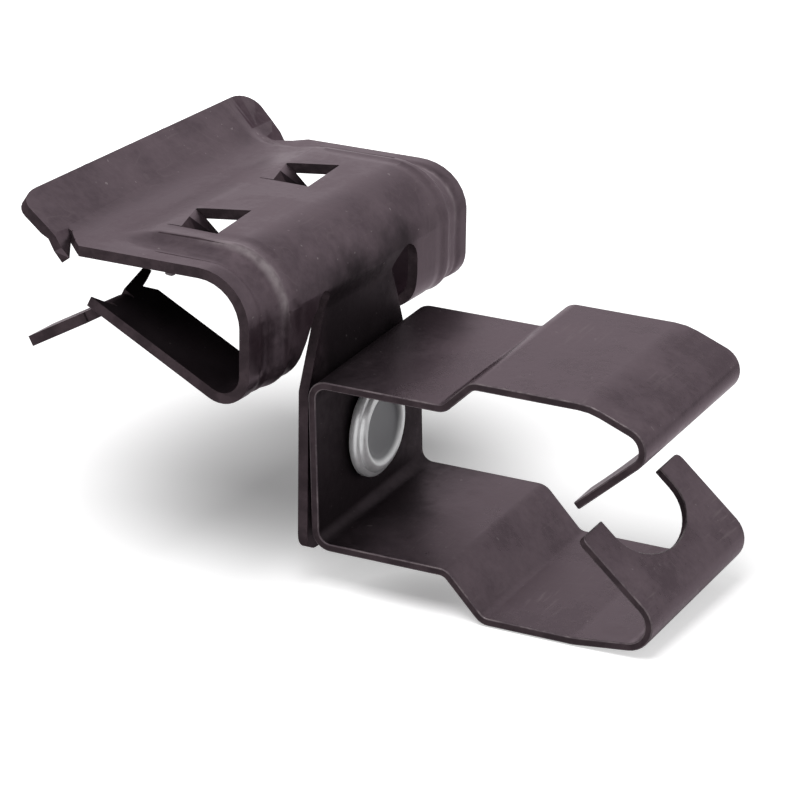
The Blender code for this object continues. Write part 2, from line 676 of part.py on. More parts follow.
def build_rivet(parts, zinc):
    """The rivet: a dished head in front, a shank through both sheets and a domed tail."""
    back = -FLANGE_SHEET - SEATING_GAP
    front = SEATING_GAP + CLIP_SHEET + SEATING_GAP
    face = front + RIVET_HEAD_THICKNESS
    edge = 0.35 * RIVET_HEAD_THICKNESS
    head = [(RIVET_HEAD, front), (RIVET_HEAD, face - edge)]
    head += [(RIVET_HEAD - edge + edge * cos(a), face - edge + edge * sin(a))
             for a in (radians(22), radians(45), radians(68), radians(90))]
    rim = [(RIVET_DISH, face), (RIVET_DISH - RIVET_DISH_DEPTH, face - RIVET_DISH_DEPTH * 0.8),
           (RIVET_DISH - 2 * RIVET_DISH_DEPTH, face - RIVET_DISH_DEPTH), (0.0, face - RIVET_DISH_DEPTH)]
    dome = [(RIVET_TAIL * cos(a), back - RIVET_TAIL_THICKNESS * sin(a))
            for a in (radians(d) for d in (90, 72, 54, 36, 18, 0))]
    profile = dome + [(RIVET_SHANK, back), (RIVET_SHANK, front)] + head + rim
    mesh = bpy.data.meshes.new("rivet")
    points = [(radius, 0, height) for radius, height in reversed(profile)]
    mesh.from_pydata(points, [(i, i + 1) for i in range(len(points) - 1)], [])
    turned = link("rivet_turned", mesh, parts)
    screw = turned.modifiers.new("turn", "SCREW")
    screw.steps = ROUND_SIDES
    screw.render_steps = ROUND_SIDES
    screw.merge_threshold = 0.01 * MM
    screw.use_merge_vertices = True
    body = to_mesh(turned, "rivet", parts)
    body.rotation_euler = (0, pi / 2, 0)
    body.location = (SEAT_X, 0, RIVET_Z)
    finish(body, zinc)
    return body


def material(name, colour, metallic, roughness):
    made = bpy.data.materials.new(name)
    made.use_nodes = True
    shader = made.node_tree.nodes["Principled BSDF"]
    shader.inputs["Base Color"].default_value = (*colour, 1)
    shader.inputs["Metallic"].default_value = metallic
    shader.inputs["Roughness"].default_value = roughness
    return made


def main():
    for obj in list(bpy.data.objects):
        bpy.data.objects.remove(obj)
    parts = collection("conduit_clip_assembly")
    cutters = collection("cutters")
    cutters.hide_render = True
    flange_steel = material("flange_clip_steel", (0.11, 0.09, 0.10), 0.35, 0.5)
    clip_steel = material("conduit_clip_steel", (0.13, 0.105, 0.115), 0.35, 0.48)
    zinc = material("rivet_zinc", (0.55, 0.55, 0.55), 0.9, 0.3)
    build_flange_clip(parts, cutters, flange_steel)
    build_conduit_clip(parts, cutters, clip_steel)
    build_rivet(parts, zinc)


main()
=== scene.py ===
"""Dresses the beam flange clip and its swivelling conduit clip for a studio picture.

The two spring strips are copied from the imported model, merged, and given the rolled
corners that pressing leaves on sheet steel. The beam clip also gets shallow ribs beside
its rims and a few burrs. The rivet is turned afresh, with its dish and its two rings.
All finishes are procedural and read Object coordinates.
"""

from math import cos, exp, radians, sin

import bpy
from mathutils import Matrix, Vector


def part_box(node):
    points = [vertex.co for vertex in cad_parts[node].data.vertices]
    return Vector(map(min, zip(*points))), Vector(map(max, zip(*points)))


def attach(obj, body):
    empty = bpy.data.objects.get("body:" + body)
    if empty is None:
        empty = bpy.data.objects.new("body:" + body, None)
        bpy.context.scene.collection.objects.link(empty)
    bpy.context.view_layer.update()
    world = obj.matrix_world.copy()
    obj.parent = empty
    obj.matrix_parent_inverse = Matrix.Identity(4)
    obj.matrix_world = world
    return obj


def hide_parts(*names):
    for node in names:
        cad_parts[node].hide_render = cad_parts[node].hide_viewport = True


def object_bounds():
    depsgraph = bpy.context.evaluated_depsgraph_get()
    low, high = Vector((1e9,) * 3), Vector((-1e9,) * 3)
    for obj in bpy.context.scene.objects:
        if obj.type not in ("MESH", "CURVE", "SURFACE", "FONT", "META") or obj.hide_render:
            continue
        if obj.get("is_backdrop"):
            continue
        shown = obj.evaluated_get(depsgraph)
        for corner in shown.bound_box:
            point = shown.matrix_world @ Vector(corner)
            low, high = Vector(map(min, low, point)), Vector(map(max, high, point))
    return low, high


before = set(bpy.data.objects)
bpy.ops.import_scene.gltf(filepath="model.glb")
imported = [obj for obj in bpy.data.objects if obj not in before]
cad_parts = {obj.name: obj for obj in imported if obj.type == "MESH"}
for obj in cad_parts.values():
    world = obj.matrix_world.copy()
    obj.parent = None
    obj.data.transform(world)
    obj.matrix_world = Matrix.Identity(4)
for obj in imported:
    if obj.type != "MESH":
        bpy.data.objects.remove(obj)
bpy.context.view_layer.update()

bl_info = {
    "name": "Beam Flange Conduit Clip",
    "version": (1, 0, 0),
    "blender": (4, 5, 0),
    "location": "View3D > Sidebar > Conduit Clip",
    "description": "Builds the finished look of a beam flange clip with a swivelling conduit clip",
    "category": "Object",
}

MM = 0.001

# Sheet of each strip, which tells a strip's faces from its cut edges
FLANGE_SHEET = 1.2 * MM
CLIP_SHEET = 0.9 * MM
SHEET_TOLERANCE = 0.2           # share of the sheet
RAY_SHEETS = 6                  # how many sheets deep a ray looks
SKIN = 0.01 * MM                # how far from a face a ray starts
MERGE = 0.001 * MM

# Material slots of a strip
FACE, CUT, CORNER, INSIDE = range(4)

# Rolled corners and smoothing
CORNER_SEGMENTS = 3
CORNER_ANGLE = radians(38)
SMOOTH_ANGLE = radians(42)
FLAT_ANGLE = radians(0.4)

# Ribs beside the rims: (how far in from the strip's side, half width, height)
RIBS = ((3.0 * MM, 0.55 * MM, -0.17 * MM), (4.7 * MM, 0.55 * MM, -0.04 * MM),
        (6.6 * MM, 0.75 * MM, 0.14 * MM), (8.6 * MM, 0.80 * MM, -0.08 * MM))
RIB_OUTSIDE = 1.6 * MM          # the ribs' reach, in from the strip's side
RIB_INSIDE = 10.4 * MM
RIB_CUTS = 30
RIB_FADE_X = (-7 * MM, 1 * MM)  # the ribs rise from nothing along X and Z
RIB_FADE_Z = (-21 * MM, -15 * MM)
CLEAR_OF_JAWS = 11 * MM         # they stay on the plate and the spine, and off the jaws
JAW_FADE = (-6 * MM, -3 * MM)
SIDEWAYS = 0.5                  # a normal with more of Y than this belongs to a cut edge

# The middle of the space that the strip is folded round
INSIDE_X = -4 * MM
INSIDE_Z = -9 * MM
FOLD_DEPTH = 24 * MM            # a face that sees the strip again within this is inside a fold,
FOLD_GAP = 3 * MM               # unless it sees it nearer than this, across a mere groove

# Burrs left on the beam clip's cut edges: (name, middle, half size)
BURRS = (("lip_burr_near", (-20.12 * MM, -9.4 * MM, 3.95 * MM), (0.28 * MM, 0.75 * MM, 0.16 * MM)),
         ("lip_burr_far", (-20.12 * MM, 7.2 * MM, 3.95 * MM), (0.26 * MM, 0.6 * MM, 0.16 * MM)),
         ("plate_burr", (0.1 * MM, -25.05 * MM, -0.95 * MM), (0.65 * MM, 0.33 * MM, 0.30 * MM)))
BURR_WOBBLE = 0.16
BURR_WAVE_X = (5.1, 2.3)        # (waves over the half size, start)
BURR_WAVE_Y = (4.3, -0.7)

# The rivet's packed box, and its turned profile as (distance behind the front, radius)
RIVET_LOW, RIVET_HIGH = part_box("rivet")
RIVET_Z = (RIVET_LOW[2] + RIVET_HIGH[2]) / 2
RIVET_FRONT = RIVET_HIGH[0]
RIVET_BACK = RIVET_LOW[0]
RIVET_RADIUS = (RIVET_HIGH[2] - RIVET_LOW[2]) / 2
RIVET_SIDES = 96
RIVET_SMOOTH_ANGLE = radians(50)
RIVET_DISH = ((0.62 * MM, 0.25 * MM), (0.60 * MM, 1.6 * MM), (0.55 * MM, 2.9 * MM),
              (0.46 * MM, 3.4 * MM), (0.26 * MM, 3.75 * MM), (0.10 * MM, 4.0 * MM))
RIVET_RIM = ((0.02 * MM, 4.2 * MM), (0.0, 4.45 * MM), (0.04 * MM, 4.75 * MM),
             (0.14 * MM, 4.98 * MM), (0.32 * MM, 5.14 * MM))
RIVET_STEP = ((0.52 * MM, 5.2 * MM), (0.56 * MM, 5.3 * MM), (0.57 * MM, 5.45 * MM),
              (0.64 * MM, 5.62 * MM), (0.78 * MM, 5.74 * MM), (0.96 * MM, RIVET_RADIUS))
HEAD_THICKNESS = 1.6 * MM
HEAD_CORNER = 0.12 * MM
SHANK_RADIUS = 2.4 * MM
TAIL_HEIGHT = 1.3 * MM
TAIL_RADIUS = 4.2 * MM
TAIL_EDGE = 4.15 * MM
TAIL_ANGLES = tuple(radians(angle) for angle in (4, 16, 30, 45, 60, 75, 86))

# Patterns: (noise scale, noise detail, noise roughness, where its ramp begins, where it ends)
MOTTLE = (1100.0, 3.0, 0.65, 0.30, 0.72)
RUBS_ALONG = (1.0, 2.0, 0.5, 0.58, 0.74)
RUBS_ACROSS = (1.0, 2.0, 0.5, 0.62, 0.78)
RUB_PATCHES = (90.0, 3.0, 0.5, 0.47, 0.66)
SCRATCH_PATCHES = (150.0, 2.0, 0.5, 0.50, 0.60)
DUST_SPECKS = (1700.0, 1.0, 0.4, 0.735, 0.79)
DUST_PATCHES = (240.0, 2.0, 0.5, 0.46, 0.58)
RIDGE_PATCHES = (420.0, 4.0, 0.6, 0.36, 0.62, 0.35, 1.0)   # the ramp runs from 0.35 to 1
CLOUDS = (5.0, 0.62, 0.33, 0.70)                           # each finish gives its own scale

# Rub lines run one way: (turn, stretch) of the noise that draws them
ALONG_STRETCH = ((0.0, 0.0, 0.25), (1900, 150, 1900))
ACROSS_STRETCH = ((0.0, 0.1, 1.1), (2600, 210, 800))

# Scratches follow the middle level of a noise: (scale, detail, roughness), and the line's ramp
SCRATCH_NOISE = (210.0, 1.5, 0.5)
SCRATCH_LINE = (0.012, 0.002)
MIDDLE = 0.5                    # the middle level of any noise

# Grain of the sheet: (scale, detail, roughness), weights of its parts, and the bump
GRAIN_NOISE = (4200.0, 3.0, 0.6)
DENT_NOISE = (260.0, 2.0, 0.5)
DENT_WEIGHT = 2.4
MARK_WEIGHT = 0.5
GRAIN_STRENGTH = 0.55
GRAIN_HEIGHT = 0.012 * MM

# Painted shade, darker where the strip lies in shade: (axis, plain from here, dark from here, half width
# across)
EVERYWHERE = 1.0
TAB_SHADE = ((0.0, 0.0, 1.0), -1.1 * MM, -6.3 * MM, 7.5 * MM)
FOLD_SHADE = ((1.0, 0.0, 0.0), -13 * MM, -8 * MM, EVERYWHERE)
BASE_SHADE = ((1.0, 0.0, 0.0), 23 * MM, 11 * MM, EVERYWHERE)
SHADE_ROUGHNESS = 0.24            # how much rougher the film is under the painted shade
SHADE_RAGGED_SCALE = 160.0        # its ragged border, and how far that wanders
SHADE_RAGGED_REACH = 8 * MM
SHADE_SIDE_FADE = 5 * MM

# Painted highlights along the pressed ridges: (place along Y, width, strength), and their two ends
RIDGE_HIGHLIGHTS = ((-18.9 * MM, 1.2 * MM, 0.75), (22.7 * MM, 0.75 * MM, 0.55))
RIDGE_START = (-1 * MM, 4 * MM)     # along X
RIDGE_END = (-9.5 * MM, -3.5 * MM)  # along Z

# The steel's tint at a grazing look on the open faces, and a dimmer tint that paints shade on the cut edges
# and on the faces inside the folds
EDGE_TINT = (0.97, 0.87, 0.92, 1.0)
SHADED_TINT = (0.50, 0.44, 0.47, 1.0)

# Steel finishes; a pair is a value where its pattern is lowest and where it is highest
FILM_MOTTLE = 0.35
FILM_GRAIN = 0.7
FILM_ROUGHNESS_SPREAD = 0.08
CUT_WORN = (0.5, 1.0)
CUT_ROUGHNESS = (0.56, 0.76)
CORNER_ROUGHNESS = (0.52, 0.36)
CORNER_METALLIC = 0.5

# The zinc's burnished rings, and its dish, painted darker for the dark reflection there
RING_NOISE = (9000.0, 2.0, 0.6)
RING_STRENGTH = 0.25
RING_HEIGHT = 0.006 * MM
DISH_FADE = 0.7 * MM
DISH_ROUGHNESS = 0.10           # how much rougher the dish is than the rim
ZINC_DULLED = 0.18              # how much of the plate has clouded
ZINC_METALLIC = 0.42

# The floor, and the painted shadow where its glow is held down round the clip, before it fades to the white
# backdrop
FLOOR_SIZE = 6.0
FLOOR_DROP = 0.2 * MM
FLOOR_ROUGHNESS = 0.9
FLOOR_SPECULAR = 0.1
SHADOW_CENTRE = (-9 * MM, 25 * MM)
SHADOW_CORE = 10 * MM
SHADOW_REACH = 42 * MM
SHADOW_GLOW = (0.10, 0.52)      # the floor's own glow at the core and at the reach
BACKDROP_REACH = 4 * SHADOW_REACH
BACKDROP_GLOW = 0.45            # what the glow gains beyond the reach
ARM_SHADOW = (23 * MM, -8 * MM)     # the middle of the painted shadow under the lower arm, and its reach
ARM_SHADOW_REACH = 26 * MM
ARM_SHADOW_GLOW = (0.30, 1.0)
MIRROR_GLOW = 0.12              # what the steel mirrors of the floor's glow

# The lamps: (name, which is also the setting of its power, size, place, aim)
LAMPS = (("key", 0.36, (0.03, -0.30, 0.55), (0.0, 0.0, -0.02)),
         ("fill", 0.50, (0.42, -0.45, 0.20), (0.01, 0.0, -0.01)))

# The camera, as it was fitted to the picture
CAMERA_PLACE = (0.2042, -0.3626, 0.12915)
CAMERA_AZIMUTH = radians(27.57)
CAMERA_ELEVATION = radians(20.1)
CAMERA_ROLL = radians(-0.88)
CAMERA_LENS = 175.05
CAMERA_SENSOR = 36.0
CAMERA_CLIP_START = 0.01


def colour(name, value, description):
    """A colour that a user may change."""
    return bpy.props.FloatVectorProperty(
        name=name, description=description, subtype="COLOR", size=3, min=0.0, max=1.0, default=value)


def length(name, value, description):
    """A length that a user may change."""
    return bpy.props.FloatProperty(
        name=name, description=description, subtype="DISTANCE", unit="LENGTH", min=0.0, default=value)


def share(name, value, description):
    """A share from nought to one that a user may change."""
    return bpy.props.FloatProperty(
        name=name, description=description, subtype="FACTOR", min=0.0, max=1.0, default=value)


def power(name, value, description):
    """A lamp's power that a user may change."""
    return bpy.props.FloatProperty(
        name=name, description=description, subtype="POWER", min=0.0, default=value)


class StripFinish(bpy.types.PropertyGroup):
    """The oiled dark finish of the spring steel strips."""

    dark: colour("Film", (0.058, 0.042, 0.050), "Where the oiled film lies thick")
    light: colour("Thin film", (0.104, 0.078, 0.090), "Where handling has thinned the film")
    # The colour of the painted shade, also of the dark oil patches on the cut edges
    shade_and_dark_oil: colour("Shade and dark oil", (0.016, 0.012, 0.014), "Shade painted into the folds and under the arms, and dark oil on the cut edges")
    # The colour of the painted highlight along the ridges
    ridge_highlight: colour("Ridge highlight", (0.27, 0.235, 0.245), "Painted highlight along the pressed ridges")
    dust: colour("Dust", (0.26, 0.23, 0.235), "Specks of dust caught in the oil")
    cut: colour("Cut edge", (0.060, 0.044, 0.050), "The sheared sides of the sheet")
    corner: colour("Corner", (0.130, 0.105, 0.112), "The worn corners of the sheet, lighter also as a painted sheen")
    roughness: share("Roughness", 0.37, "Mean roughness of the film")
    metallic: share("Metallic", 0.9, "How much bare metal shows through")
    corner_radius: length("Corner radius", 0.14 * MM, "Radius of the sheet's rolled corners")


class RivetFinish(bpy.types.PropertyGroup):
    """The bright rivet's shape and plating."""

    plate: colour("Zinc", (0.94, 0.945, 0.95), "Bright zinc plate")
    # The colour of the painted dark reflection in the dish, also of the plate's faint clouds
    dull_and_dark_reflection: colour("Darker zinc", (0.20, 0.20, 0.21), "Zinc painted darker in the dish for the dark reflection there, and in faint clouds")
    roughness: share("Roughness", 0.34, "Roughness of the bright plate")
    dish: length("Dish", 4.2 * MM, "Radius of the darker dish")


class StudioSettings(bpy.types.PropertyGroup):
    """The pale studio round the clip."""

    floor: colour("Floor", (0.86, 0.855, 0.86), "The pale floor")
    key: power("Key light", 3.4, "Power of the large lamp overhead")
    fill: power("Fill light", 0.25, "Power of the lamp beside the camera")
    ambient: share("Ambient", 0.27, "Brightness of the room")


def deselect():
    """Nothing selected, and no object in edit mode."""
    if bpy.context.object and bpy.context.object.mode != "OBJECT":
        bpy.ops.object.mode_set(mode="OBJECT")
    bpy.ops.object.select_all(action="DESELECT")


def pick(obj):
    """Only this object selected and active."""
    deselect()
    obj.select_set(True)
    bpy.context.view_layer.objects.active = obj


def apply_modifiers(obj):
    """Every modifier applied, in order."""
    pick(obj)
    for modifier in list(obj.modifiers):
        bpy.ops.object.modifier_apply(modifier=modifier.name)


def smooth_step(value, start, end):
    """Nought before start, one after end, and a soft curve between."""
    part = min(max((value - start) / (end - start), 0.0), 1.0)
    return part * part * (3 - 2 * part)


def outward(place):
    """The way from the middle of the fold to a place on the beam clip."""
    return Vector((place.x - INSIDE_X, 0, place.z - INSIDE_Z))


def merged_copy(node, name):
    """A copy of a packed strip with its loose triangles joined, as a piece of its own."""
    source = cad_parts[node]
    mesh = source.data.copy()
    mesh.transform(source.matrix_world)
    mesh.materials.clear()
    piece = bpy.data.objects.new(name, mesh)
    bpy.context.scene.collection.objects.link(piece)
    pick(piece)
    bpy.ops.object.mode_set(mode="EDIT")
    bpy.ops.mesh.select_all(action="SELECT")
    bpy.ops.mesh.customdata_custom_splitnormals_clear()
    bpy.ops.mesh.remove_doubles(threshold=MERGE)
    bpy.ops.object.mode_set(mode="OBJECT")
    return piece


def press_ribs(piece):
    """Presses the shallow ribs that run round the bend beside each rim of the raised panel."""
    low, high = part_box("flange_clip")
    middle, half = (low[1] + high[1]) / 2, (high[1] - low[1]) / 2
    pick(piece)
    bpy.ops.object.mode_set(mode="EDIT")
    for side in (-1, 1):
        for step in range(RIB_CUTS + 1):
            across = half - RIB_OUTSIDE + (RIB_OUTSIDE - RIB_INSIDE) * step / RIB_CUTS
            bpy.ops.mesh.select_all(action="SELECT")
            bpy.ops.mesh.bisect(plane_co=(0, middle + side * across, 0), plane_no=(0, 1, 0))
    bpy.ops.object.mode_set(mode="OBJECT")
    for vert in piece.data.vertices:
        place = vert.co
        in_from_side = half - abs(place.y - middle)
        rib = sum(height * exp(-((in_from_side - where) / width) ** 2) for where, width, height in RIBS)
        along = smooth_step(place.x, *RIB_FADE_X) * smooth_step(place.z, *RIB_FADE_Z)
        along *= smooth_step(max(place.z, place.x - CLEAR_OF_JAWS), *JAW_FADE)
        normal = Vector((vert.normal.x, 0, vert.normal.z))
        if abs(vert.normal.y) < SIDEWAYS and normal.length > 0:
            way = normal.normalized() * (1 if normal.dot(outward(place)) > 0 else -1)
            vert.co = place + way * rib * along


def mark_cut_edges(piece, sheet):
    """Gives the sheared sides of a strip their own material slot.

    A ray sent inwards from one of the strip's faces comes out after one sheet's
    thickness, and from a sheared side it goes further or less far.
    """
    bpy.context.view_layer.update()
    for face in piece.data.polygons:
        inward = -face.normal
        start = face.center + inward * SKIN
        found, place, _, _ = piece.ray_cast(start, inward, distance=RAY_SHEETS * sheet)
        depth = (place - start).length + SKIN if found else 0.0
        face.material_index = FACE if abs(depth - sheet) < SHEET_TOLERANCE * sheet else CUT


def mark_inside(piece):
    """Gives the faces that look into the folds, or at another part of the strip, their own slot."""
    bpy.context.view_layer.update()
    for face in piece.data.polygons:
        start = face.center + face.normal * SKIN
        found, place, _, _ = piece.ray_cast(start, face.normal, distance=FOLD_DEPTH)
        faced = found and (place - start).length > FOLD_GAP
        if face.material_index == FACE and (faced or face.normal.dot(outward(face.center)) < 0):
            face.material_index = INSIDE


def dress_strip(node, name, sheet, body, finish, materials, folded=False):
    """Turns a packed strip into a finished piece with rolled corners.

    A folded strip also has ribs, and its last material goes on the faces inside the folds.
    """
    piece = merged_copy(node, name)
    if folded:
        press_ribs(piece)
    for material in materials:
        piece.data.materials.append(material)
    mark_cut_edges(piece, sheet)
    if folded:
        mark_inside(piece)
    pick(piece)
    bpy.ops.object.mode_set(mode="EDIT")
    bpy.ops.mesh.select_all(action="SELECT")
    bpy.ops.mesh.dissolve_limited(angle_limit=FLAT_ANGLE, delimit={"MATERIAL"})
    bpy.ops.object.mode_set(mode="OBJECT")
    bevel = piece.modifiers.new("rolled corners", "BEVEL")
    bevel.width = finish.corner_radius
    bevel.segments = CORNER_SEGMENTS
    bevel.limit_method = "ANGLE"
    bevel.angle_limit = CORNER_ANGLE
    bevel.material = CORNER
    weighted = piece.modifiers.new("flat faces", "WEIGHTED_NORMAL")
    weighted.keep_sharp = True
    pick(piece)
    bpy.ops.object.shade_smooth_by_angle(angle=SMOOTH_ANGLE)
    apply_modifiers(piece)
    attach(piece, body)
    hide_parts(node)


def node_group(name, inputs, outputs):
    """A shader node group with named sockets, and its two ends."""
    group = bpy.data.node_groups.new(name, "ShaderNodeTree")
    for title, kind, default in inputs:
        socket = group.interface.new_socket(name=title, in_out="INPUT", socket_type=kind)
        if default is not None:
            socket.default_value = default
    for title, kind in outputs:
        group.interface.new_socket(name=title, in_out="OUTPUT", socket_type=kind)
    return group, group.nodes.new("NodeGroupInput"), group.nodes.new("NodeGroupOutput")


def feed(tree, socket, value):
    """A plain number set on a socket, or another socket linked to it."""
    if isinstance(value, (int, float)):
        socket.default_value = value
    else:
        tree.links.new(value, socket)


def noise(tree, vector, scale, detail=4.0, roughness=0.6):
    """Noise from nought to one."""
    texture = tree.nodes.new("ShaderNodeTexNoise")
    texture.inputs["Detail"].default_value = detail
    texture.inputs["Roughness"].default_value = roughness
    tree.links.new(vector, texture.inputs["Vector"])
    feed(tree, texture.inputs["Scale"], scale)
    return texture.outputs["Fac"]


def remap(tree, value, low, high, out_low=0.0, out_high=1.0):
    """A soft ramp from low to high."""
    node = tree.nodes.new("ShaderNodeMapRange")
    node.interpolation_type = "SMOOTHSTEP"
    tree.links.new(value, node.inputs["Value"])
    for title, number in (("From Min", low), ("From Max", high), ("To Min", out_low), ("To Max", out_high)):
        feed(tree, node.inputs[title], number)
    return node.outputs["Result"]


def pattern(tree, vector, scale, detail, roughness, low, high, out_low=0.0, out_high=1.0):
    """Noise put through a soft ramp."""
    return remap(tree, noise(tree, vector, scale, detail, roughness), low, high, out_low, out_high)


def maths(tree, operation, first, second=0.0):
    """One Math node."""
    node = tree.nodes.new("ShaderNodeMath")
    node.operation = operation
    for socket, value in zip(node.inputs, (first, second)):
        feed(tree, socket, value)
    return node.outputs["Value"]


def product(tree, first, *others):
    """Several masks multiplied."""
    for other in others:
        first = maths(tree, "MULTIPLY", first, other)
    return first


def mix_colour(tree, share_of_second, first, second):
    """Two colours mixed by a mask."""
    node = tree.nodes.new("ShaderNodeMix")
    node.data_type = "RGBA"
    sockets = {s.name: s for s in node.inputs if s.enabled}
    tree.links.new(share_of_second, sockets["Factor"])
    for title, value in (("A", first), ("B", second)):
        if isinstance(value, tuple):
            sockets[title].default_value = (*value, 1.0)
        else:
            tree.links.new(value, sockets[title])
    return next(s for s in node.outputs if s.enabled)


def stretched(tree, vector, turn, scale):
    """Coordinates turned and stretched, for marks that run one way."""
    node = tree.nodes.new("ShaderNodeMapping")
    node.inputs["Rotation"].default_value = turn
    node.inputs["Scale"].default_value = scale
    tree.links.new(vector, node.inputs["Vector"])
    return node.outputs["Vector"]


def axes(tree, vector):
    """The X, Y and Z of a vector."""
    node = tree.nodes.new("ShaderNodeSeparateXYZ")
    tree.links.new(vector, node.inputs["Vector"])
    return node.outputs["X"], node.outputs["Y"], node.outputs["Z"]


def distance_from(tree, vector, point):
    """How far a place is from a point on the floor."""
    node = tree.nodes.new("ShaderNodeVectorMath")
    node.operation = "DISTANCE"
    node.inputs[1].default_value = (*point, 0.0)
    tree.links.new(vector, node.inputs[0])
    return node.outputs["Value"]


def bumped(tree, height, strength, distance):
    """A normal from a height."""
    node = tree.nodes.new("ShaderNodeBump")
    node.inputs["Strength"].default_value = strength
    node.inputs["Distance"].default_value = distance
    tree.links.new(height, node.inputs["Height"])
    return node.outputs["Normal"]


def film_group():
    """How thick the oiled film lies: broad clouds broken up by finer mottling."""
    tree, start, end = node_group(
        "oil film", [("Vector", "NodeSocketVector", None), ("Cloud Scale", "NodeSocketFloat", 130.0),
                     ("Mottle", "NodeSocketFloat", 0.4)],
        [("Thinness", "NodeSocketFloat"), ("Mottle", "NodeSocketFloat")])
    vector = start.outputs["Vector"]
    clouds = pattern(tree, vector, start.outputs["Cloud Scale"], *CLOUDS)
    mottle = pattern(tree, vector, *MOTTLE)
    spread = product(tree, maths(tree, "SUBTRACT", mottle, MIDDLE), start.outputs["Mottle"])
    tree.links.new(maths(tree, "ADD", clouds, spread), end.inputs["Thinness"])
    tree.links.new(mottle, end.inputs["Mottle"])
    return tree


def marks_group():
    """Fine rub lines, wandering scratches in the film and specks of dust."""
    tree, start, end = node_group(
        "rubs and dust", [("Vector", "NodeSocketVector", None), ("Rubs", "NodeSocketFloat", 0.5),
                          ("Scratches", "NodeSocketFloat", 0.5), ("Dust", "NodeSocketFloat", 0.5)],
        [("Rubs", "NodeSocketFloat"), ("Scratches", "NodeSocketFloat"), ("Dust", "NodeSocketFloat")])
    vector = start.outputs["Vector"]
    along = pattern(tree, stretched(tree, vector, *ALONG_STRETCH), *RUBS_ALONG)
    across = pattern(tree, stretched(tree, vector, *ACROSS_STRETCH), *RUBS_ACROSS)
    lines = maths(tree, "MAXIMUM", along, across)
    level = maths(tree, "SUBTRACT", noise(tree, vector, *SCRATCH_NOISE), MIDDLE)
    wander = remap(tree, maths(tree, "ABSOLUTE", level), *SCRATCH_LINE)
    specks = pattern(tree, vector, *DUST_SPECKS)
    for title, mark, patches in (("Rubs", lines, RUB_PATCHES), ("Scratches", wander, SCRATCH_PATCHES),
                                 ("Dust", specks, DUST_PATCHES)):
        where = pattern(tree, vector, *patches)
        tree.links.new(product(tree, mark, where, start.outputs[title]), end.inputs[title])
    return tree


def painted_shade_group():
    """Painted shade, darker along one axis, where the strip lies in shade in the folds and under the arms.
    """
    tree, start, end = node_group(
        "settled oil", [("Vector", "NodeSocketVector", None), ("Axis", "NodeSocketVector", (0.0, 0.0, 1.0)),
                        ("Clean At", "NodeSocketFloat", 0.0), ("Dark At", "NodeSocketFloat", -0.01),
                        ("Half Width", "NodeSocketFloat", 1.0)],
        [("Settled", "NodeSocketFloat")])
    vector, half_width = start.outputs["Vector"], start.outputs["Half Width"]
    along = tree.nodes.new("ShaderNodeVectorMath")
    along.operation = "DOT_PRODUCT"
    tree.links.new(vector, along.inputs[0])
    tree.links.new(start.outputs["Axis"], along.inputs[1])
    wander = maths(tree, "SUBTRACT", noise(tree, vector, SHADE_RAGGED_SCALE), MIDDLE)
    ragged = product(tree, wander, SHADE_RAGGED_REACH)
    place = maths(tree, "ADD", along.outputs["Value"], ragged)
    shade_and_dark_oil = remap(tree, place, start.outputs["Clean At"], start.outputs["Dark At"])
    _, y, _ = axes(tree, vector)
    aside = maths(tree, "ADD", maths(tree, "ABSOLUTE", y), ragged)
    middle = remap(tree, aside, maths(tree, "ADD", half_width, SHADE_SIDE_FADE), half_width)
    tree.links.new(product(tree, shade_and_dark_oil, middle), end.inputs["Settled"])
    return tree


def ridge_group():
    """A painted highlight along the pressed ridge beside a rim."""
    tree, start, end = node_group(
        "rubbed ridge", [("Vector", "NodeSocketVector", None), ("Place", "NodeSocketFloat", 0.0),
                         ("Width", "NodeSocketFloat", 1 * MM)],
        [("Rubbed", "NodeSocketFloat")])
    vector = start.outputs["Vector"]
    x, y, z = axes(tree, vector)
    away = maths(tree, "ABSOLUTE", maths(tree, "SUBTRACT", y, start.outputs["Place"]))
    band = remap(tree, away, start.outputs["Width"], 0.0)
    ends = product(tree, remap(tree, x, *RIDGE_START), remap(tree, z, *RIDGE_END))
    ridge_highlight = product(tree, band, pattern(tree, vector, *RIDGE_PATCHES), ends)
    tree.links.new(ridge_highlight, end.inputs["Rubbed"])
    return tree


def grain_group():
    """The sheet's rolled grain and the dents of handling, as a normal."""
    tree, start, end = node_group(
        "sheet grain", [("Vector", "NodeSocketVector", None), ("Grain", "NodeSocketFloat", 0.5),
                        ("Marks", "NodeSocketFloat", 0.0)],
        [("Normal", "NodeSocketVector")])
    vector = start.outputs["Vector"]
    height = maths(tree, "ADD", product(tree, noise(tree, vector, *GRAIN_NOISE), start.outputs["Grain"]),
                   product(tree, noise(tree, vector, *DENT_NOISE), DENT_WEIGHT))
    height = maths(tree, "ADD", height, product(tree, start.outputs["Marks"], MARK_WEIGHT))
    tree.links.new(bumped(tree, height, GRAIN_STRENGTH, GRAIN_HEIGHT), end.inputs["Normal"])
    return tree


def shared_groups():
    """The effects that several finishes use, made once."""
    makers = {"film": ("oil film", film_group), "marks": ("rubs and dust", marks_group),
              "shade_and_dark_oil": ("settled oil", painted_shade_group), "ridge": ("rubbed ridge", ridge_group),
              "grain": ("sheet grain", grain_group)}
    return {key: bpy.data.node_groups.get(name) or make() for key, (name, make) in makers.items()}


def new_material(name):
    """A material, its tree, its shader and its Object coordinates."""
    material = bpy.data.materials.new(name)
    material.use_nodes = True
    tree = material.node_tree
    shader = tree.nodes["Principled BSDF"]
    place = tree.nodes.new("ShaderNodeTexCoord")
    return material, tree, shader, place.outputs["Object"]


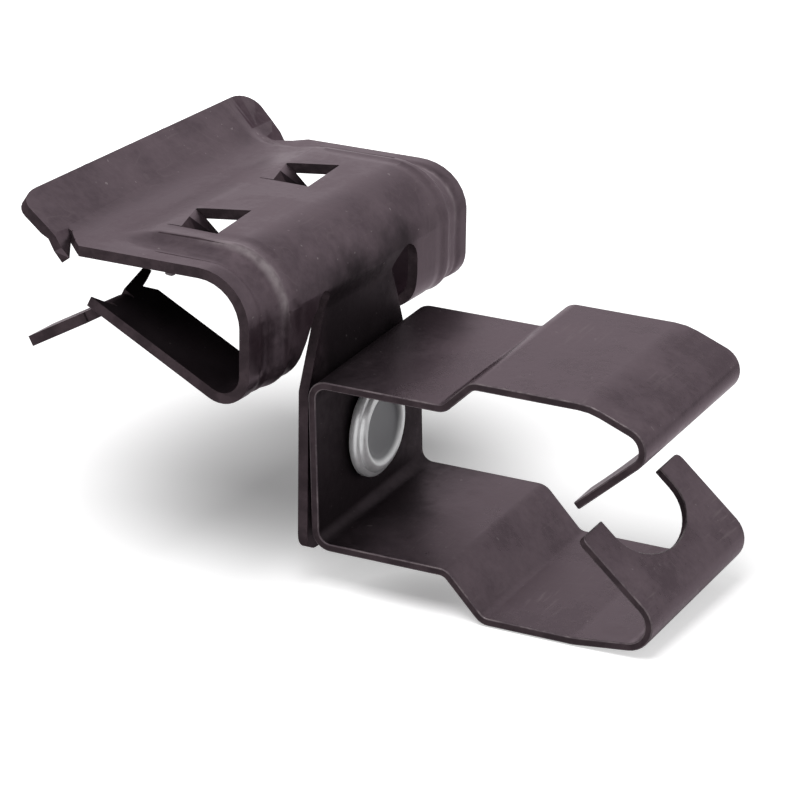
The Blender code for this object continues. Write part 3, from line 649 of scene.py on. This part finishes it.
def use_group(tree, group, vector, **values):
    """A shared effect placed in a material, with this material's own values."""
    node = tree.nodes.new("ShaderNodeGroup")
    node.node_tree = group
    tree.links.new(vector, node.inputs["Vector"])
    for title, value in values.items():
        node.inputs[title.replace("_", " ")].default_value = value
    return node


def wire_shader(tree, shader, base, rough, normal, metallic):
    """Feeds a shader its varying colour, roughness and normal, and its plain metallic value."""
    tree.links.new(base, shader.inputs["Base Color"])
    tree.links.new(rough, shader.inputs["Roughness"])
    tree.links.new(normal, shader.inputs["Normal"])
    shader.inputs["Metallic"].default_value = metallic


def strip_material(name, finish, groups, oil, cloud_scale, dust, rubs, scratches, tint=EDGE_TINT,
                   ridges=(), polish=0.0):
    """The oiled film on a strip's faces, with painted shade where the strip lies in shade and painted
    highlights on the ridges.
    """
    material, tree, shader, place = new_material(name)
    film = use_group(tree, groups["film"], place, Cloud_Scale=cloud_scale, Mottle=FILM_MOTTLE)
    marks = use_group(tree, groups["marks"], place, Rubs=rubs, Scratches=scratches, Dust=dust)
    grain = use_group(tree, groups["grain"], place, Grain=FILM_GRAIN)
    tree.links.new(film.outputs["Mottle"], grain.inputs["Marks"])
    base = mix_colour(tree, film.outputs["Thinness"], tuple(finish.dark), tuple(finish.light))
    for mark in ("Rubs", "Scratches"):
        base = mix_colour(tree, marks.outputs[mark], base, tuple(finish.corner))
    # The oil argument places the painted shade: its axis, its two ends and its half width
    axis, unshaded_at, dark_at, half_width = oil
    shade_and_dark_oil = use_group(tree, groups["shade_and_dark_oil"], place, Axis=axis, Clean_At=unshaded_at, Dark_At=dark_at,
                        Half_Width=half_width).outputs["Settled"]
    base = mix_colour(tree, shade_and_dark_oil, base, tuple(finish.shade_and_dark_oil))
    # Painted highlights: a light colour laid along the ridges beside the rims
    for across, width, strength in ridges:
        ridge_highlight = use_group(tree, groups["ridge"], place, Place=across, Width=width).outputs["Rubbed"]
        base = mix_colour(tree, product(tree, ridge_highlight, strength), base, tuple(finish.ridge_highlight))
    base = mix_colour(tree, marks.outputs["Dust"], base, tuple(finish.dust))
    mean = finish.roughness - polish
    rough = remap(tree, film.outputs["Thinness"], 0.0, 1.0,
                  mean - FILM_ROUGHNESS_SPREAD, mean + FILM_ROUGHNESS_SPREAD)
    # The film is also rougher under the painted shade
    rough = maths(tree, "ADD", rough, product(tree, shade_and_dark_oil, SHADE_ROUGHNESS))
    wire_shader(tree, shader, base, rough, grain.outputs["Normal"], finish.metallic)
    shader.inputs["Specular Tint"].default_value = tint
    return material


def cut_material(name, finish, groups):
    """The sheared sides of the sheet, dark with oil and unevenly rough, with their reflection dimmed as
    painted shade.
    """
    material, tree, shader, place = new_material(name)
    film = use_group(tree, groups["film"], place, Cloud_Scale=420.0, Mottle=0.6)
    grain = use_group(tree, groups["grain"], place, Grain=1.6)
    worn = remap(tree, film.outputs["Thinness"], 0.0, 1.0, *CUT_WORN)
    base = mix_colour(tree, worn, tuple(finish.shade_and_dark_oil), tuple(finish.cut))
    rough = remap(tree, film.outputs["Mottle"], 0.0, 1.0, *CUT_ROUGHNESS)
    wire_shader(tree, shader, base, rough, grain.outputs["Normal"], finish.metallic)
    # Painted shade: the dimmer tint darkens the cut edges' reflection
    shader.inputs["Specular Tint"].default_value = SHADED_TINT
    return material


def corner_material(name, finish, groups):
    """The sheet's corners, where the film is worn away in places, and lighter along them as a painted
    sheen.
    """
    material, tree, shader, place = new_material(name)
    film = use_group(tree, groups["film"], place, Cloud_Scale=260.0, Mottle=0.8)
    grain = use_group(tree, groups["grain"], place, Grain=1.0)
    # Partly painted sheen: the corners are lighter than the film, as well as worn
    base = mix_colour(tree, film.outputs["Thinness"], tuple(finish.dark), tuple(finish.corner))
    rough = remap(tree, film.outputs["Thinness"], 0.0, 1.0, *CORNER_ROUGHNESS)
    wire_shader(tree, shader, base, rough, grain.outputs["Normal"], CORNER_METALLIC)
    return material


def zinc_material(name, finish, groups):
    """Bright zinc plate, burnished in rings by the riveting tool, with its dish painted darker for the dark
    reflection there.
    """
    material, tree, shader, place = new_material(name)
    film = use_group(tree, groups["film"], place, Cloud_Scale=420.0, Mottle=0.3)
    centred = tree.nodes.new("ShaderNodeMapping")
    centred.inputs["Location"].default_value = (0.0, 0.0, -RIVET_Z)
    centred.inputs["Scale"].default_value = (0.0, 1.0, 1.0)
    tree.links.new(place, centred.inputs["Vector"])
    reach = tree.nodes.new("ShaderNodeVectorMath")
    reach.operation = "LENGTH"
    tree.links.new(centred.outputs["Vector"], reach.inputs[0])
    radius = reach.outputs["Value"]
    ring = tree.nodes.new("ShaderNodeCombineXYZ")
    tree.links.new(radius, ring.inputs["X"])
    rings = noise(tree, ring.outputs["Vector"], *RING_NOISE)
    # Painted dark reflection: the zinc is darker inside the dish
    dished = remap(tree, radius, finish.dish, finish.dish - DISH_FADE)
    base = mix_colour(tree, dished, tuple(finish.plate), tuple(finish.dull_and_dark_reflection))
    base = mix_colour(tree, product(tree, film.outputs["Thinness"], ZINC_DULLED), base, tuple(finish.dull_and_dark_reflection))
    rough = remap(tree, dished, 0.0, 1.0, finish.roughness, finish.roughness + DISH_ROUGHNESS)
    wire_shader(tree, shader, base, rough, bumped(tree, rings, RING_STRENGTH, RING_HEIGHT), ZINC_METALLIC)
    return material


def floor_material(studio):
    """The pale floor, which glows to the camera, with a painted shadow where the glow is held down round
    the clip.
    """
    material, tree, shader, place = new_material("studio_floor")
    shader.inputs["Base Color"].default_value = (*studio.floor, 1)
    shader.inputs["Roughness"].default_value = FLOOR_ROUGHNESS
    shader.inputs["Specular IOR Level"].default_value = FLOOR_SPECULAR
    seen = tree.nodes.new("ShaderNodeLightPath")
    glow = tree.nodes.new("ShaderNodeEmission")
    glow.inputs["Color"].default_value = (1, 1, 1, 1)
    # Painted shadow: the glow is lowest round the shadow's centre and under the lower arm, where the lamps'
    # shadows fall
    away = distance_from(tree, place, SHADOW_CENTRE)
    near = remap(tree, away, SHADOW_CORE, SHADOW_REACH, *SHADOW_GLOW)
    far = remap(tree, away, SHADOW_REACH, BACKDROP_REACH, 0.0, BACKDROP_GLOW)
    arm = remap(tree, distance_from(tree, place, ARM_SHADOW), 0.0, ARM_SHADOW_REACH, *ARM_SHADOW_GLOW)
    pale = maths(tree, "MINIMUM", maths(tree, "ADD", near, far), arm)
    shown = product(tree, seen.outputs["Is Camera Ray"], pale)
    mirrored = product(tree, seen.outputs["Is Glossy Ray"], MIRROR_GLOW)
    tree.links.new(maths(tree, "ADD", shown, mirrored), glow.inputs["Strength"])
    both = tree.nodes.new("ShaderNodeAddShader")
    tree.links.new(shader.outputs[0], both.inputs[0])
    tree.links.new(glow.outputs[0], both.inputs[1])
    tree.links.new(both.outputs[0], tree.nodes["Material Output"].inputs["Surface"])
    return material


def raise_burr(name, place, size, material):
    """A small lump torn up on a cut edge."""
    deselect()
    bpy.ops.mesh.primitive_ico_sphere_add(subdivisions=3, radius=1.0, location=place)
    burr = bpy.context.object
    burr.name = name
    burr.scale = size
    bpy.ops.object.transform_apply(location=True, rotation=True, scale=True)
    for vert in burr.data.vertices:
        away = vert.co - Vector(place)
        wave_x = sin(BURR_WAVE_X[0] * away.x / size[0] + BURR_WAVE_X[1])
        wave_y = cos(BURR_WAVE_Y[0] * away.y / size[1] + BURR_WAVE_Y[1])
        wobble = 1 + BURR_WOBBLE * wave_x * wave_y
        vert.co = Vector(place) + away * wobble / (1 + BURR_WOBBLE)
    burr.data.shade_smooth()
    burr.data.materials.append(material)
    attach(burr, "beam_clip")


def rivet_profile():
    """Rings of the rivet, as (place along X, radius), from the middle of its dish to its tail."""
    head_back = RIVET_FRONT - HEAD_THICKNESS
    tail_front = RIVET_BACK + TAIL_HEIGHT
    rings = [(RIVET_FRONT - behind, radius) for behind, radius in RIVET_DISH + RIVET_RIM + RIVET_STEP]
    rings += [(head_back + HEAD_CORNER, RIVET_RADIUS), (head_back, RIVET_RADIUS - HEAD_CORNER),
              (head_back, SHANK_RADIUS), (tail_front, SHANK_RADIUS), (tail_front, TAIL_EDGE)]
    rings += [(tail_front - TAIL_HEIGHT * sin(angle), TAIL_RADIUS * cos(angle)) for angle in TAIL_ANGLES]
    return rings


class CLIP_OT_beam_clip(bpy.types.Operator):
    """Dress the folded strip that grips the beam's flange."""

    bl_idname = "clip.beam_clip"
    bl_label = "Beam clip"

    def execute(self, context):
        finish = context.scene.strip_finish
        groups = shared_groups()
        # Painted shade darkens the tab downwards, below the spine
        materials = [strip_material("beam_clip_film", finish, groups, TAB_SHADE, cloud_scale=120.0,
                                    dust=0.5, rubs=0.3, scratches=0.2, ridges=RIDGE_HIGHLIGHTS),
                     cut_material("beam_clip_cut", finish, groups),
                     corner_material("beam_clip_corner", finish, groups),
                     # The faces inside the folds get painted shade: darker away from the lip, and a dimmer
                     # tint
                     strip_material("beam_clip_inside", finish, groups, FOLD_SHADE, cloud_scale=120.0,
                                    dust=0.2, rubs=0.3, scratches=0.1, tint=SHADED_TINT)]
        dress_strip("flange_clip", "beam_clip_strip", FLANGE_SHEET, "beam_clip",
                    finish, materials, folded=True)
        return {"FINISHED"}


class CLIP_OT_burrs(bpy.types.Operator):
    """Raise the burrs on the beam clip's cut edges, in the finish of its corners."""

    bl_idname = "clip.burrs"
    bl_label = "Burrs"

    def execute(self, context):
        for name, place, size in BURRS:
            raise_burr(name, place, size, bpy.data.materials["beam_clip_corner"])
        return {"FINISHED"}


class CLIP_OT_swivel_clip(bpy.types.Operator):
    """Dress the folded strip that snaps round the conduit."""

    bl_idname = "clip.swivel_clip"
    bl_label = "Swivelling conduit clip"

    def execute(self, context):
        finish = context.scene.strip_finish
        groups = shared_groups()
        # Painted shade darkens the film towards the clip's base
        materials = [strip_material("swivel_clip_film", finish, groups, BASE_SHADE, cloud_scale=95.0,
                                    dust=0.3, rubs=0.6, scratches=0.15, polish=0.03),
                     cut_material("swivel_clip_cut", finish, groups),
                     corner_material("swivel_clip_corner", finish, groups)]
        dress_strip("conduit_clip", "swivel_clip_strip", CLIP_SHEET, "swivel_clip",
                    finish, materials)
        return {"FINISHED"}


class CLIP_OT_rivet(bpy.types.Operator):
    """Turn the bright rivet with its dished and rimmed head."""

    bl_idname = "clip.rivet"
    bl_label = "Rivet"

    def execute(self, context):
        rings = rivet_profile()
        here, size = rings[0]
        deselect()
        bpy.ops.mesh.primitive_circle_add(vertices=RIVET_SIDES, radius=size, fill_type="NGON",
                                          location=(here, 0, RIVET_Z), rotation=(0, radians(90), 0))
        piece = context.object
        piece.name = "rivet_turned"
        bpy.ops.object.transform_apply(location=True, rotation=True, scale=True)
        bpy.ops.object.mode_set(mode="EDIT")
        bpy.ops.mesh.select_all(action="SELECT")
        for place, radius in rings[1:]:
            bpy.ops.mesh.extrude_region_move(TRANSFORM_OT_translate={"value": (place - here, 0, 0)})
            grow = radius / size
            bpy.ops.transform.resize(value=(1, grow, grow), center_override=(place, 0, RIVET_Z))
            here, size = place, radius
        bpy.ops.mesh.select_all(action="SELECT")
        bpy.ops.mesh.normals_make_consistent(inside=False)
        bpy.ops.object.mode_set(mode="OBJECT")
        bpy.ops.object.shade_smooth_by_angle(angle=RIVET_SMOOTH_ANGLE)
        finish = context.scene.rivet_finish
        piece.data.materials.append(zinc_material("rivet_plate", finish, shared_groups()))
        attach(piece, "beam_clip")
        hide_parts("rivet")
        return {"FINISHED"}


def light_room(scene, studio):
    """White surroundings to the camera and to reflections, and a plain soft room to the rest."""
    world = bpy.data.worlds.new("studio")
    scene.world = world
    world.use_nodes = True
    tree = world.node_tree
    background = tree.nodes["Background"]
    path = tree.nodes.new("ShaderNodeLightPath")
    strength = tree.nodes.new("ShaderNodeMapRange")
    strength.inputs["To Min"].default_value = studio.ambient
    strength.inputs["To Max"].default_value = 1.0
    seen = maths(tree, "MAXIMUM", path.outputs["Is Camera Ray"], path.outputs["Is Glossy Ray"])
    tree.links.new(seen, strength.inputs["Value"])
    tree.links.new(strength.outputs["Result"], background.inputs["Strength"])
    background.inputs["Color"].default_value = (1, 1, 1, 1)


def hang_lamps(scene, studio):
    """The two soft lamps."""
    for name, size, place, aim in LAMPS:
        lamp = bpy.data.lights.new(name, "AREA")
        lamp.energy = getattr(studio, name)
        lamp.size = size
        obj = bpy.data.objects.new(name, lamp)
        scene.collection.objects.link(obj)
        obj.location = place
        obj.rotation_euler = (Vector(aim) - Vector(place)).to_track_quat("-Z", "Y").to_euler()


def place_camera(scene):
    """The camera at the picture's viewing angle."""
    azimuth, elevation, roll = CAMERA_AZIMUTH, CAMERA_ELEVATION, CAMERA_ROLL
    right = Vector((cos(azimuth), sin(azimuth), 0))
    forward = Vector((-sin(azimuth) * cos(elevation), cos(azimuth) * cos(elevation), -sin(elevation)))
    down = forward.cross(right)
    across = cos(roll) * right + sin(roll) * down
    downwards = -sin(roll) * right + cos(roll) * down
    camera = bpy.data.cameras.new("camera")
    camera.lens = CAMERA_LENS
    camera.sensor_width = CAMERA_SENSOR
    camera.clip_start = CAMERA_CLIP_START
    eye = bpy.data.objects.new("camera", camera)
    scene.collection.objects.link(eye)
    eye.matrix_world = (Matrix.Translation(CAMERA_PLACE)
                        @ Matrix((across, -downwards, -forward)).transposed().to_4x4())
    scene.camera = eye


class CLIP_OT_studio(bpy.types.Operator):
    """Set up the pale floor, the lamps and the camera."""

    bl_idname = "clip.studio"
    bl_label = "Studio"

    def execute(self, context):
        scene, studio = context.scene, context.scene.studio
        deselect()
        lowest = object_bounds()[0][2]
        bpy.ops.mesh.primitive_plane_add(size=FLOOR_SIZE, location=(0, 0, lowest - FLOOR_DROP))
        floor = context.object
        floor.name = "studio_floor"
        floor.data.materials.append(floor_material(studio))
        floor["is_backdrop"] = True
        light_room(scene, studio)
        hang_lamps(scene, studio)
        place_camera(scene)
        scene.view_settings.view_transform = "Standard"
        return {"FINISHED"}


class CLIP_PT_panel(bpy.types.Panel):
    """Lists the settings and the pieces of the clip."""

    bl_label = "Conduit Clip"
    bl_idname = "CLIP_PT_panel"
    bl_space_type = "VIEW_3D"
    bl_region_type = "UI"
    bl_category = "Conduit Clip"

    def draw(self, context):
        for attribute, _ in SETTINGS:
            settings = getattr(context.scene, attribute)
            box = self.layout.box()
            for name in settings.__annotations__:
                box.prop(settings, name)
        for operator in OPERATORS:
            self.layout.operator(operator.bl_idname)


SETTINGS = (("strip_finish", StripFinish), ("rivet_finish", RivetFinish), ("studio", StudioSettings))
OPERATORS = (CLIP_OT_beam_clip, CLIP_OT_burrs, CLIP_OT_swivel_clip, CLIP_OT_rivet, CLIP_OT_studio)


def register():
    """Registers the settings, the operators and the panel."""
    for name, group in SETTINGS:
        bpy.utils.register_class(group)
        setattr(bpy.types.Scene, name, bpy.props.PointerProperty(type=group))
    for operator in OPERATORS:
        bpy.utils.register_class(operator)
    bpy.utils.register_class(CLIP_PT_panel)


def unregister():
    """Takes them away again."""
    bpy.utils.unregister_class(CLIP_PT_panel)
    for operator in reversed(OPERATORS):
        bpy.utils.unregister_class(operator)
    for name, group in reversed(SETTINGS):
        delattr(bpy.types.Scene, name)
        bpy.utils.unregister_class(group)


def main():
    """Builds the clip and its studio."""
    register()
    bpy.ops.clip.beam_clip()
    bpy.ops.clip.burrs()
    bpy.ops.clip.swivel_clip()
    bpy.ops.clip.rivet()
    bpy.ops.clip.studio()


if __name__ == "__main__":
    main()
